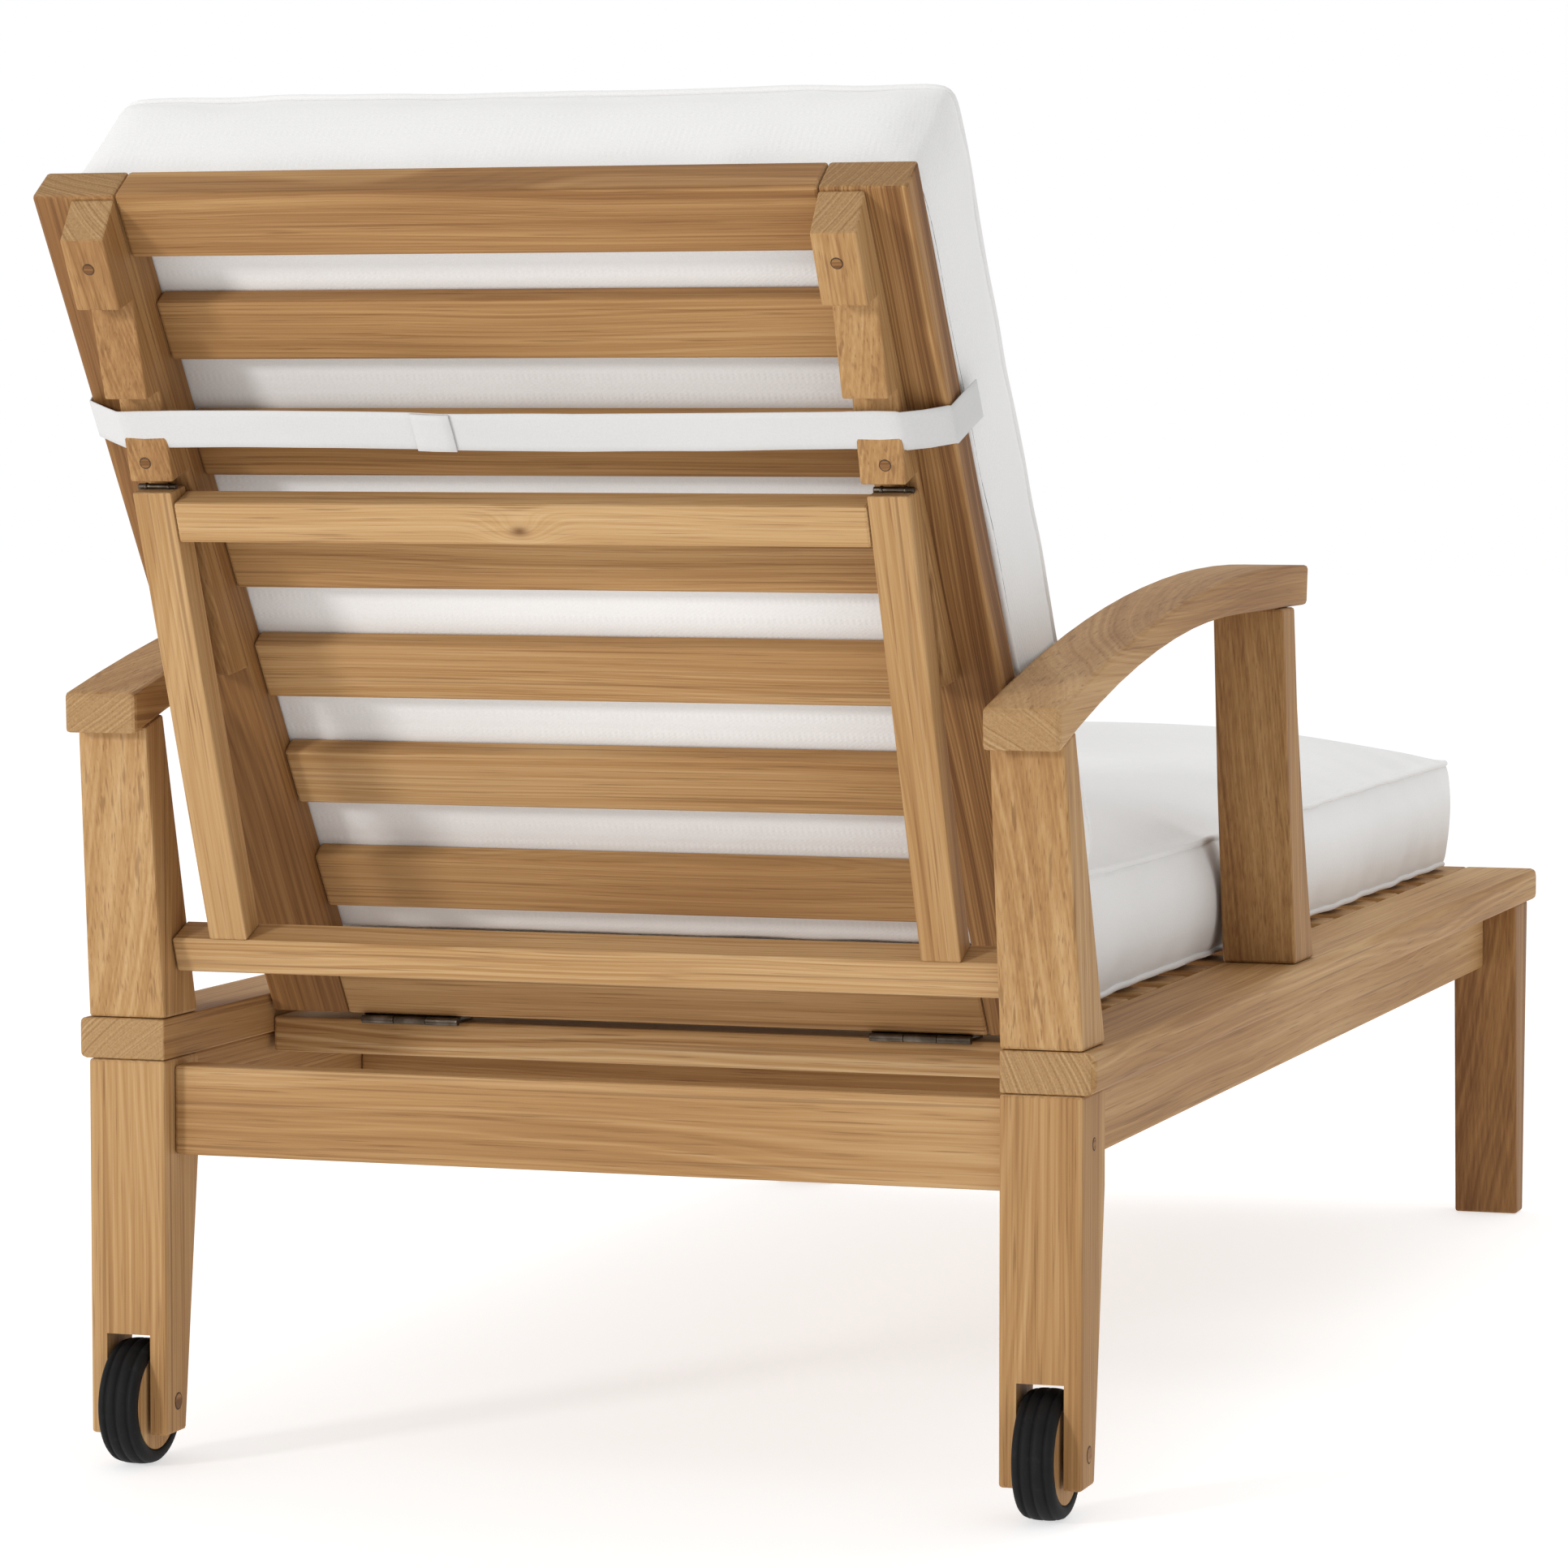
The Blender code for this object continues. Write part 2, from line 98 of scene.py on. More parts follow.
bpy.ops.object.select_all(action="DESELECT")
bpy.ops.mesh.primitive_plane_add(size=FLOOR_SIDE, location=(0.0, 0.0, -FLOOR_DROP))
floor = bpy.context.object
floor.name = "studio_floor"
floor_paint = bpy.data.materials.new("floor_paint")
floor_paint.use_nodes = True
floor_shader = floor_paint.node_tree.nodes["Principled BSDF"]
floor_shader.inputs["Base Color"].default_value = (0.60, 0.60, 0.60, 1.0)
floor_shader.inputs["Roughness"].default_value = 0.9
floor_shader.inputs["Emission Color"].default_value = (1.0, 1.0, 1.0, 1.0)
floor_shader.inputs["Emission Strength"].default_value = 0.60
floor.data.materials.append(floor_paint)

# Teak boards.
# Every wooden piece is solid teak, planed and sanded, left with a dry oiled finish: straight and
# arched growth rings, fine dark pores along the grain, paler end grain, and no two boards alike.


def node_group(name, sockets):
    """A shader node group with the sockets named, as (name, in or out, type, value)."""
    group = bpy.data.node_groups.new(name, "ShaderNodeTree")
    for label, way, kind, value in sockets:
        socket = group.interface.new_socket(name=label, in_out=way, socket_type="NodeSocket" + kind)
        if value is not None:
            socket.default_value = value
    return group, group.nodes.new("NodeGroupInput"), group.nodes.new("NodeGroupOutput")


def add_node(tree, kind, **values):
    """A shader node; in_ names or numbers an input, given as a value or as an output socket."""
    node = tree.nodes.new("ShaderNode" + kind)
    for key, value in values.items():
        if key.startswith("in_"):
            socket = node.inputs[int(key[3:])] if key[3:].isdigit() else node.inputs[key[3:]]
            if isinstance(value, bpy.types.NodeSocket):
                tree.links.new(value, socket)
            else:
                socket.default_value = value
        else:
            setattr(node, key, value)
    return node


def calc(tree, operation, *values):
    """The result socket of a Math node."""
    inputs = {f"in_{i}": value for i, value in enumerate(values)}
    return add_node(tree, "Math", operation=operation, **inputs).outputs[0]


def blended(tree, factor, first, second, way="MIX"):
    """The colour socket of a Mix node."""
    node = tree.nodes.new("ShaderNodeMix")
    node.data_type = "RGBA"
    node.blend_type = way
    colour_inputs = (node.inputs[0], node.inputs[6], node.inputs[7])
    for socket, value in zip(colour_inputs, (factor, first, second)):
        if isinstance(value, bpy.types.NodeSocket):
            tree.links.new(value, socket)
        else:
            socket.default_value = value
    return node.outputs[2]


def ramp(tree, factor, stops):
    """The colour socket of a Color Ramp with stops of (position, colour)."""
    node = add_node(tree, "ValToRGB", in_0=factor)
    band = node.color_ramp
    while len(band.elements) < len(stops):
        band.elements.new(0.5)
    for element, (position, colour) in zip(band.elements, stops):
        element.position = position
        element.color = (*colour, 1.0)
    return node.outputs[0]


def linear(level):
    """The linear value of a level from 0 to 255 as seen."""
    return level / 255 / 12.92 if level < 11 else ((level / 255 + 0.055) / 1.055) ** 2.4


def rgb(red, green, blue):
    """A linear colour from 0 to 255 levels as seen."""
    return linear(red), linear(green), linear(blue)


grain_group, grain_in, grain_out = node_group("teak_grain", [
    ("Place", "INPUT", "Vector", None), ("Facing", "INPUT", "Vector", None),
    ("Tone", "INPUT", "Float", 0.0), ("Figure", "INPUT", "Float", 1.0),
    ("Knot", "INPUT", "Vector", (9.0, 9.0, 9.0)),
    ("Colour", "OUTPUT", "Color", None), ("Roughness", "OUTPUT", "Float", None),
    ("Height", "OUTPUT", "Float", None)])


def grain(kind, **values):
    return add_node(grain_group, kind, **values)


def grain_calc(operation, *values):
    return calc(grain_group, operation, *values)


def scaled(socket, factors):
    return grain("VectorMath", operation="MULTIPLY", in_0=socket, in_1=factors).outputs[0]


def stretched(scale, *, detail=2.0, rough=0.5):
    """Noise on the grain's own axes, with its x axis along the grain."""
    texture = grain("TexNoise", noise_dimensions="3D", in_Vector=scaled(grain_place, scale),
                    in_Scale=1.0, in_Detail=detail, in_Roughness=rough)
    return texture.outputs["Fac"]


def rings(spacing, detail):
    """Noise along the distance from the tree's heart."""
    texture = grain("TexNoise", noise_dimensions="1D", in_W=grain_calc("MULTIPLY", radius, spacing),
                    in_Scale=1.0, in_Detail=detail)
    return texture.outputs["Fac"]


def bell(distance, narrowness):
    """1 at no distance, falling away smoothly."""
    squared = grain_calc("POWER", distance, 2.0)
    return grain_calc("EXPONENT", grain_calc("MULTIPLY", squared, -narrowness))


def mask(value, gain, offset, strength=1.0):
    """value times gain plus offset, kept between 0 and 1, then weakened."""
    level = grain_calc("MULTIPLY_ADD", value, gain, offset)
    level = grain_calc("MINIMUM", grain_calc("MAXIMUM", level, 0.0), 1.0)
    return grain_calc("MULTIPLY", level, strength)


# The growth rings wander along the board and bend round a knot.
grain_place = grain_in.outputs["Place"]
wander = grain("TexNoise", noise_dimensions="3D", in_Vector=scaled(grain_place, (2.1, 7.0, 7.0)),
               in_Scale=1.0, in_Detail=1.5)
wandered = grain("VectorMath", operation="MULTIPLY_ADD", in_0=wander.outputs["Color"],
                 in_1=(0.0, 0.034, 0.034), in_2=grain_place).outputs[0]
to_knot = grain("VectorMath", operation="SUBTRACT", in_0=grain_place,
                in_1=grain_in.outputs["Knot"]).outputs[0]
knot_reach = grain("VectorMath", operation="LENGTH",
                   in_0=scaled(to_knot, (0.55, 1.0, 1.0))).outputs["Value"]
knot_swirl = bell(knot_reach, 6500.0)
knot_core = bell(knot_reach, 90000.0)
parted = grain("SeparateXYZ", in_0=wandered)
radius = grain_calc("SQRT", grain_calc("ADD", grain_calc("POWER", parted.outputs[1], 2.0),
                                       grain_calc("POWER", parted.outputs[2], 2.0)))
radius = grain_calc("MULTIPLY_ADD", knot_swirl, 0.014, radius)
broad_rings = rings(95.0, 1.0)
fine_rings = rings(560.0, 2.0)
fibres = stretched((4.5, 480.0, 480.0), detail=3.0, rough=0.62)
cloudy = stretched((1.6, 11.0, 11.0))
pores = stretched((16.0, 760.0, 760.0), detail=1.0)
vessels = stretched((2.4, 270.0, 270.0), detail=1.0)

# Along a board: rings, fibres and slow changes of tone, with dark pores and vessels.
ring_mix = grain_calc("MULTIPLY_ADD", broad_rings, 0.24, grain_calc("MULTIPLY", fine_rings, 0.28))
ring_mix = grain_calc("MULTIPLY_ADD", grain_calc("SUBTRACT", ring_mix, 0.26),
                      grain_in.outputs["Figure"], 0.26)
tone = grain_calc("MULTIPLY_ADD", fibres, 0.28, grain_calc("ADD", ring_mix, 0.09))
tone = grain_calc("MULTIPLY_ADD", grain_calc("SUBTRACT", cloudy, 0.5), 0.46, tone)
tone = grain_calc("ADD", tone, grain_in.outputs["Tone"])
side_colour = ramp(grain_group, tone, [
    (0.24, rgb(112, 74, 40)), (0.38, rgb(146, 105, 62)), (0.50, rgb(170, 130, 83)),
    (0.61, rgb(187, 150, 104)), (0.78, rgb(205, 173, 129))])
pore_mask = mask(pores, 7.0, -4.35, 0.45)
vessel_mask = mask(vessels, 11.0, -7.0, 0.42)
dark_mask = grain_calc("MAXIMUM", grain_calc("MAXIMUM", pore_mask, vessel_mask),
                       grain_calc("MULTIPLY", knot_core, 0.85))
side_colour = blended(grain_group, dark_mask, side_colour, (*rgb(104, 66, 36), 1.0))

# Across its ends: the rings and pores alone, a little duller.
end_tone = grain_calc("MULTIPLY_ADD", fine_rings, 0.55, grain_calc("MULTIPLY", pores, 0.35))
end_tone = grain_calc("ADD", end_tone, grain_in.outputs["Tone"])
end_colour = ramp(grain_group, end_tone, [
    (0.26, rgb(140, 106, 68)), (0.48, rgb(166, 131, 90)), (0.68, rgb(184, 152, 110))])
along = grain_calc("ABSOLUTE", grain("SeparateXYZ", in_0=grain_in.outputs["Facing"]).outputs[0])
end_mask = mask(along, 5.0, -3.4)
roughness = grain_calc("ADD", grain_calc("MULTIPLY_ADD", fibres, 0.22, 0.50),
                       grain_calc("MULTIPLY", end_mask, 0.12))
height = grain_calc("SUBTRACT", grain_calc("MULTIPLY", fibres, 0.5), dark_mask)
board_colour = blended(grain_group, end_mask, side_colour, end_colour)
grain_group.links.new(board_colour, grain_out.inputs["Colour"])
grain_group.links.new(roughness, grain_out.inputs["Roughness"])
grain_group.links.new(height, grain_out.inputs["Height"])

LEAN = math.radians(34.34)
PROP_LEAN = math.radians(21.5)
GRAIN_TURNS = {
    "across": (0.0, 0.0, 0.0),
    "lengthwise": (0.0, 0.0, -math.pi / 2),
    "upright": (0.0, math.pi / 2, 0.0),
    "stile": (LEAN, math.pi / 2, 0.0),
    "strut": (PROP_LEAN, math.pi / 2, 0.0),
}
tone_draws = random.Random(41)


def teak(name, way, tone_and_shade_shift=None, figure=1.0, knot=None):
    """Teak for one board, with its grain turned along the board and its own slice of the tree."""
    material = bpy.data.materials.new("teak_" + name)
    material.use_nodes = True
    tree = material.node_tree
    shader = tree.nodes["Principled BSDF"]
    heart = (tone_draws.uniform(-3, 3),
             tone_draws.uniform(0.03, 0.16) * tone_draws.choice((-1, 1)),
             tone_draws.uniform(0.02, 0.12) * tone_draws.choice((-1, 1)))
    drawn = tone_draws.uniform(-0.045, 0.045)
    coordinates = add_node(tree, "TexCoord")
    turn = GRAIN_TURNS[way]
    place = add_node(tree, "Mapping", in_0=coordinates.outputs["Object"], in_1=heart, in_2=turn)
    facing = add_node(tree, "Mapping", in_0=coordinates.outputs["Normal"], in_2=turn)
    group = tree.nodes.new("ShaderNodeGroup")
    group.node_tree = grain_group
    tree.links.new(place.outputs[0], group.inputs["Place"])
    tree.links.new(facing.outputs[0], group.inputs["Facing"])
    group.inputs["Tone"].default_value = drawn if tone_and_shade_shift is None else tone_and_shade_shift
    group.inputs["Figure"].default_value = figure
    if knot:
        turned = Vector(knot)
        turned.rotate(Euler(turn))
        group.inputs["Knot"].default_value = turned + Vector(heart)
    bump = add_node(tree, "Bump", in_Strength=0.35, in_Distance=0.0012,
                    in_Height=group.outputs["Height"])
    tree.links.new(group.outputs["Colour"], shader.inputs["Base Color"])
    tree.links.new(group.outputs["Roughness"], shader.inputs["Roughness"])
    tree.links.new(bump.outputs[0], shader.inputs["Normal"])
    shader.inputs["Specular IOR Level"].default_value = 0.22
    return material


def finish(piece, material):
    """Gives a piece one material all over."""
    piece.data.materials.clear()
    piece.data.materials.append(material)


nodes = frame["nodes"]
prop_knot = (-0.002, REAR_LEG_BACK + 0.0991, 0.6424)
# Each board's tone shift is partly its own tone and partly painted shade: pieces seen in shade, most of
# all the right-hand leg, arm post and stile away from the key light, are set darker.
BOARDS = {
    "side_rail_left": ("lengthwise", 0.02), "side_rail_right": ("lengthwise", 0.01),
    "side_apron_left": ("lengthwise", -0.01), "side_apron_right": ("lengthwise", 0.02),
    "armrest_left": ("lengthwise", 0.0), "armrest_right": ("lengthwise", 0.02),
    "rear_leg_left": ("upright", 0.03), "rear_leg_right": ("upright", -0.02),
    "front_leg_left": ("upright", -0.09), "front_leg_right": ("upright", -0.14),
    "rear_arm_post_left": ("upright", -0.02), "rear_arm_post_right": ("upright", -0.01),
    "front_arm_post_left": ("upright", -0.05), "front_arm_post_right": ("upright", -0.11),
    "rear_apron": ("across", 0.04), "foot_rail": ("across", 0.02), "hinge_rail": ("across", 0.07),
    "mid_brace": ("across", 0.0), "back_top_rail": ("across", -0.05),
    "back_bottom_rail": ("across", -0.02),
    "prop_crossbar": ("across", 0.09), "prop_foot_bar": ("across", 0.13),
    "back_stile_left": ("stile", -0.10), "back_stile_right": ("stile", -0.14),
    "rack_left": ("stile", 0.0), "rack_right": ("stile", 0.0),
    "prop_strut_left": ("strut", 0.02), "prop_strut_right": ("strut", 0.0),
}
for i in range(1, 15):
    BOARDS[f"seat_slat_{i:02d}"] = ("across", None)
# The back slats' tone shifts are likewise partly their own tone and partly painted shade.
for i, shift in enumerate((-0.03, -0.05, -0.03, -0.01, 0.0, 0.0), start=1):
    BOARDS[f"back_slat_{i}"] = ("across", shift)
BOLD_BOARDS = {"hinge_rail", "back_stile_right", "prop_foot_bar"}
BOLD_FIGURE, PLAIN_FIGURE = 1.5, 0.72
for name, (way, shift) in BOARDS.items():
    figure = BOLD_FIGURE if name in BOLD_BOARDS else PLAIN_FIGURE
    knot = prop_knot if name == "prop_crossbar" else None
    finish(nodes[name], teak(name, way, shift, figure, knot))

# Hinges and axles.
# Two butt hinges of dark, weathered steel sit between the hinge rail and the backrest's bottom rail;
# the wheels turn on plain axles of the same steel, pressed through the rear legs.
steel = bpy.data.materials.new("dulled_steel")
steel.use_nodes = True
steel_tree = steel.node_tree
steel_shader = steel_tree.nodes["Principled BSDF"]
steel_shader.inputs["Metallic"].default_value = 1.0
steel_place = add_node(steel_tree, "TexCoord").outputs["Object"]
steel_scratch = add_node(steel_tree, "TexNoise", in_Vector=steel_place, in_Scale=260.0,
                         in_Detail=4.0)
steel_stain = add_node(steel_tree, "TexNoise", in_Vector=steel_place, in_Scale=55.0, in_Detail=3.0)
steel_colour = ramp(steel_tree, steel_stain.outputs["Fac"], [
    (0.35, (0.050, 0.038, 0.028)), (0.55, (0.11, 0.090, 0.070)), (0.75, (0.24, 0.21, 0.18))])
steel_tree.links.new(steel_colour, steel_shader.inputs["Base Color"])
steel_tree.links.new(calc(steel_tree, "MULTIPLY_ADD", steel_scratch.outputs["Fac"], 0.35, 0.25),
                     steel_shader.inputs["Roughness"])
steel_bump = add_node(steel_tree, "Bump", in_Strength=0.25, in_Distance=0.0003,
                      in_Height=steel_scratch.outputs["Fac"])
steel_tree.links.new(steel_bump.outputs[0], steel_shader.inputs["Normal"])
for hand in ("left", "right"):
    for name in ("hinge_fixed_leaf_", "hinge_moving_leaf_", "axle_"):
        finish(nodes[name + hand], steel)

# Wheels.
# Each rear leg is slotted for a wheel: a turned teak disc with a black rubber tyre pulled over it,
# its tread cut with three fine grooves and scuffed dull where it rolls.
rubber = bpy.data.materials.new("worn_rubber")
rubber.use_nodes = True
rubber_tree = rubber.node_tree
rubber_shader = rubber_tree.nodes["Principled BSDF"]
rubber_place = add_node(rubber_tree, "TexCoord").outputs["Object"]
rubber_dust = add_node(rubber_tree, "TexNoise", in_Vector=rubber_place, in_Scale=70.0,
                       in_Detail=5.0, in_Roughness=0.7).outputs["Fac"]
rubber_speck = add_node(rubber_tree, "TexNoise", in_Vector=rubber_place, in_Scale=900.0, in_Detail=2.0)
rubber_colour = ramp(rubber_tree, rubber_dust, [
    (0.40, (0.0035, 0.0035, 0.004)), (0.58, (0.0065, 0.0065, 0.007)),
    (0.76, (0.022, 0.021, 0.020))])
rubber_tree.links.new(rubber_colour, rubber_shader.inputs["Base Color"])
rubber_tree.links.new(calc(rubber_tree, "MULTIPLY_ADD", rubber_dust, 0.4, 0.48),
                      rubber_shader.inputs["Roughness"])
rubber_shader.inputs["Specular IOR Level"].default_value = 0.22
rubber_bump = add_node(rubber_tree, "Bump", in_Strength=0.3, in_Distance=0.0004,
                       in_Height=rubber_speck.outputs["Fac"])
rubber_tree.links.new(rubber_bump.outputs[0], rubber_shader.inputs["Normal"])
TYRE_OUTLINE = [  # distance from the wheel's middle plane, radius
    (-0.0128, 0.0330), (-0.0138, 0.0345), (-0.0140, 0.0375), (-0.0134, 0.0398), (-0.0118, 0.0414),
    (-0.0092, 0.0423), (-0.0086, 0.0412), (-0.0074, 0.0412), (-0.0068, 0.0427), (-0.0034, 0.0430),
    (-0.0010, 0.0430), (-0.0004, 0.0417), (0.0008, 0.0417), (0.0014, 0.0430), (0.0048, 0.0429),
    (0.0066, 0.0427), (0.0072, 0.0412), (0.0084, 0.0412), (0.0090, 0.0423), (0.0118, 0.0414),
    (0.0134, 0.0398), (0.0140, 0.0375), (0.0138, 0.0345), (0.0128, 0.0330)]
TYRE_STEPS = 72
DISC_RADIUS, DISC_THICK = 0.0326, 0.0262


def select_faces(piece, wanted):
    """Selects the faces of a mesh that wanted(face) picks, and leaves the piece in edit mode."""
    bpy.ops.object.mode_set(mode="EDIT")
    bpy.ops.mesh.select_all(action="DESELECT")
    bpy.ops.mesh.select_mode(type="FACE")
    bpy.ops.object.mode_set(mode="OBJECT")
    for face in piece.data.polygons:
        face.select = wanted(face)
    bpy.ops.object.mode_set(mode="EDIT")


for side, hand in ((1, "left"), (-1, "right")):
    wheel = joints[f"wheel_{hand}_spin"]["pos_m"]
    bpy.ops.object.select_all(action="DESELECT")
    bpy.ops.mesh.primitive_circle_add(vertices=len(TYRE_OUTLINE), radius=0.01)
    tyre = bpy.context.object
    tyre.name = "tyre_tread_" + hand
    for vertex, (across, out) in zip(tyre.data.vertices, TYRE_OUTLINE):
        vertex.co = (wheel[0] + across, wheel[1], wheel[2] + out)
    bpy.ops.object.mode_set(mode="EDIT")
    bpy.ops.mesh.select_mode(type="VERT")
    bpy.ops.mesh.select_all(action="SELECT")
    bpy.ops.mesh.spin(steps=TYRE_STEPS, angle=2 * math.pi, center=wheel, axis=(1, 0, 0))
    bpy.ops.mesh.select_all(action="SELECT")
    bpy.ops.mesh.remove_doubles(threshold=0.00001)
    bpy.ops.mesh.normals_make_consistent(inside=False)
    bpy.ops.object.mode_set(mode="OBJECT")
    tyre.data.shade_smooth()
    finish(tyre, rubber)
    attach(tyre, "wheel_" + hand)
    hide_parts("tyre_" + hand)

    bpy.ops.object.select_all(action="DESELECT")
    bpy.ops.mesh.primitive_cylinder_add(vertices=TYRE_STEPS, radius=DISC_RADIUS, depth=DISC_THICK,
                                        location=wheel, rotation=(0, math.pi / 2, 0))
    hub = bpy.context.object
    hub.name = "wheel_disc_" + hand
    select_faces(hub, lambda face: abs(face.normal.z) > 0.9)
    bpy.ops.mesh.inset(thickness=0.0012)
    bpy.ops.mesh.inset(thickness=0.0240, depth=-0.0006)
    bpy.ops.mesh.inset(thickness=0.0012, depth=0.0012)
    bpy.ops.object.mode_set(mode="OBJECT")
    bpy.ops.object.transform_apply(location=True, rotation=True, scale=True)
    bpy.ops.object.shade_smooth_by_angle(angle=math.radians(35))
    finish(hub, teak("wheel_disc_" + hand, "upright", 0.03))
    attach(hub, "wheel_" + hand)
    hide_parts("wheel_hub_" + hand)

# Wooden plugs.
# Screws and bolts are sunk and covered with teak plugs 8 to 12 mm across, cut across the grain and
# sanded almost flush, with a thin dark glue line round each.
hinge_pin = Vector(joints["backrest_recline"]["pos_m"])
BACK_UP = Vector((0.0, math.sin(LEAN), math.cos(LEAN)))
BACK_OUT = Vector((0.0, math.cos(LEAN), -math.sin(LEAN)))


STILE_END, STILE_FACE = 0.001, -0.0039  # the stiles' bottom ends and back faces, from the hinge pin


def back_point(x, up, out):
    """A point of the backrest: up its stiles from their bottom ends, out from their back faces."""
    along_back = BACK_UP * (up + STILE_END) + BACK_OUT * (out + STILE_FACE)
    return hinge_pin + Vector((x, 0, 0)) + along_back


plug_rim = bpy.data.materials.new("glue_line")
plug_rim.use_nodes = True
rim_tree = plug_rim.node_tree
rim_shader = rim_tree.nodes["Principled BSDF"]
rim_place = add_node(rim_tree, "TexCoord").outputs["Object"]
rim_noise = add_node(rim_tree, "TexNoise", in_Vector=rim_place, in_Scale=700.0, in_Detail=2.0)
rim_colour = ramp(rim_tree, rim_noise.outputs["Fac"], [
    (0.35, (0.035, 0.018, 0.008)), (0.65, (0.11, 0.060, 0.028))])
rim_tree.links.new(rim_colour, rim_shader.inputs["Base Color"])
rim_shader.inputs["Roughness"].default_value = 0.85
PLUG_LENGTH, PLUG_SUNK = 0.0040, 0.0019


def plug(name, place, outward, body, radius=0.0040, turn="across", shift=-0.10):
    """A round plug with its glue line, sunk so that it stands a little proud."""
    bpy.ops.object.select_all(action="DESELECT")
    aim = Vector(outward).to_track_quat("Z", "Y").to_euler()
    bpy.ops.mesh.primitive_cylinder_add(vertices=28, radius=radius, depth=PLUG_LENGTH, location=place,
                                        rotation=aim)
    piece = bpy.context.object
    piece.name = name
    select_faces(piece, lambda face: face.normal.z > 0.9)
    bpy.ops.mesh.inset(thickness=radius * 0.11)
    bpy.ops.mesh.inset(thickness=radius * 0.06, depth=0.0002)
    bpy.ops.object.mode_set(mode="OBJECT")
    top = max(vertex.co.z for vertex in piece.data.vertices) - 0.00001
    centre = [face.index for face in piece.data.polygons if face.normal.z > 0.9 and face.center.z > top]
    piece.data.transform(Matrix.Translation((0, 0, -PLUG_SUNK)))
    bpy.ops.object.transform_apply(location=True, rotation=True, scale=True)
    finish(piece, plug_rim)
    piece.data.materials.append(teak(name, turn, shift, figure=1.6))
    for index in centre:
        piece.data.polygons[index].material_index = 1
    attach(piece, body)


LEG_OUTER, LEG_INNER = 0.350, 0.294
AXLE_HEIGHT = 0.0440
for side, hand in ((1, "left"), (-1, "right")):
    plug(f"rack_plug_upper_{hand}", back_point(side * 0.2490, 0.6435, 0.0317),
         BACK_OUT * 0.997 + BACK_UP * 0.080, "backrest", shift=-0.22)
    plug(f"rack_plug_middle_{hand}", back_point(side * 0.2520, 0.4905, 0.0265),
         BACK_OUT * 0.962 + BACK_UP * 0.273, "backrest", shift=-0.22)
    plug(f"leg_plug_{hand}", (side * LEG_OUTER, REAR_LEG_BACK - 0.029, 0.2456),
         (side, 0, 0), "seat_frame", 0.0045, "lengthwise")
    plug(f"axle_plug_outer_{hand}", (side * LEG_OUTER, REAR_LEG_BACK - 0.019, AXLE_HEIGHT),
         (side, 0, 0), "seat_frame", 0.0060, "lengthwise")
    plug(f"axle_plug_inner_{hand}", (side * LEG_INNER, REAR_LEG_BACK - 0.0195, AXLE_HEIGHT),
         (-side, 0, 0), "seat_frame", 0.0060, "lengthwise")

# Prop tips.
# A steel pin lies along the top of each strut, in two small bent eyes screwed to it; it catches
# under a step of the rack above.
prop_pin = Vector(joints["prop_swing"]["pos_m"])
PROP_UP = Vector((0.0, math.sin(PROP_LEAN), math.cos(PROP_LEAN)))
PROP_OUT = Vector((0.0, math.cos(PROP_LEAN), -math.sin(PROP_LEAN)))


def prop_point(x, up, out):
    """A point of the prop frame: up its struts from the pivot, out of their backs."""
    return prop_pin + Vector((x, 0, 0)) + PROP_UP * up + PROP_OUT * out


def round_rod(name, first, last, radius, sides=20):
    """A rod between two points with slightly domed ends."""
    first, last = Vector(first), Vector(last)
    bpy.ops.object.select_all(action="DESELECT")
    bpy.ops.mesh.primitive_cylinder_add(vertices=sides, radius=radius, depth=(last - first).length,
                                        location=(first + last) / 2,
                                        rotation=(last - first).to_track_quat("Z", "Y").to_euler())
    rod = bpy.context.object
    rod.name = name
    rounding = rod.modifiers.new("rounding", "BEVEL")
    rounding.width = radius * 0.35
    rounding.segments = 2
    bpy.ops.object.modifier_apply(modifier="rounding")
    bpy.ops.object.transform_apply(location=True, rotation=True, scale=True)
    bpy.ops.object.shade_smooth_by_angle(angle=math.radians(40))
    return rod


TIP_UP, TIP_OUT = 0.3385, 0.001
EYE_UP, EYE_WIDTH = 0.3382, 0.0028
for side, hand in ((1, "left"), (-1, "right")):
    pin = round_rod(f"prop_tip_pin_{hand}", prop_point(side * 0.2385, TIP_UP, TIP_OUT),
                    prop_point(side * 0.2655, TIP_UP, TIP_OUT), 0.0022)
    eyes = []
    for i, x in enumerate((0.2425, 0.2585)):
        eyes.append(round_rod(f"eye_{i}", prop_point(side * x, EYE_UP, TIP_OUT),
                              prop_point(side * (x + EYE_WIDTH), EYE_UP, TIP_OUT), 0.0030))
    bpy.ops.object.select_all(action="DESELECT")
    for piece in eyes + [pin]:
        piece.select_set(True)
    bpy.context.view_layer.objects.active = pin
    bpy.ops.object.join()
    pin = bpy.context.object
    finish(pin, steel)
    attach(pin, "prop")

# Cushions.
# A seat cushion and a back cushion: thick foam in matt white woven covers, boxed with side bands
# and finished round both edges with piping of the same cloth. They swell between their seams.
cloth_group, cloth_in, cloth_out = node_group("plain_weave", [
    ("Place", "INPUT", "Vector", None), ("Thread", "INPUT", "Float", 1500.0),
    ("Colour", "OUTPUT", "Color", None), ("Roughness", "OUTPUT", "Float", None),
    ("Height", "OUTPUT", "Float", None)])
cloth_place = cloth_in.outputs["Place"]


def cloth_calc(operation, *values):
    return calc(cloth_group, operation, *values)


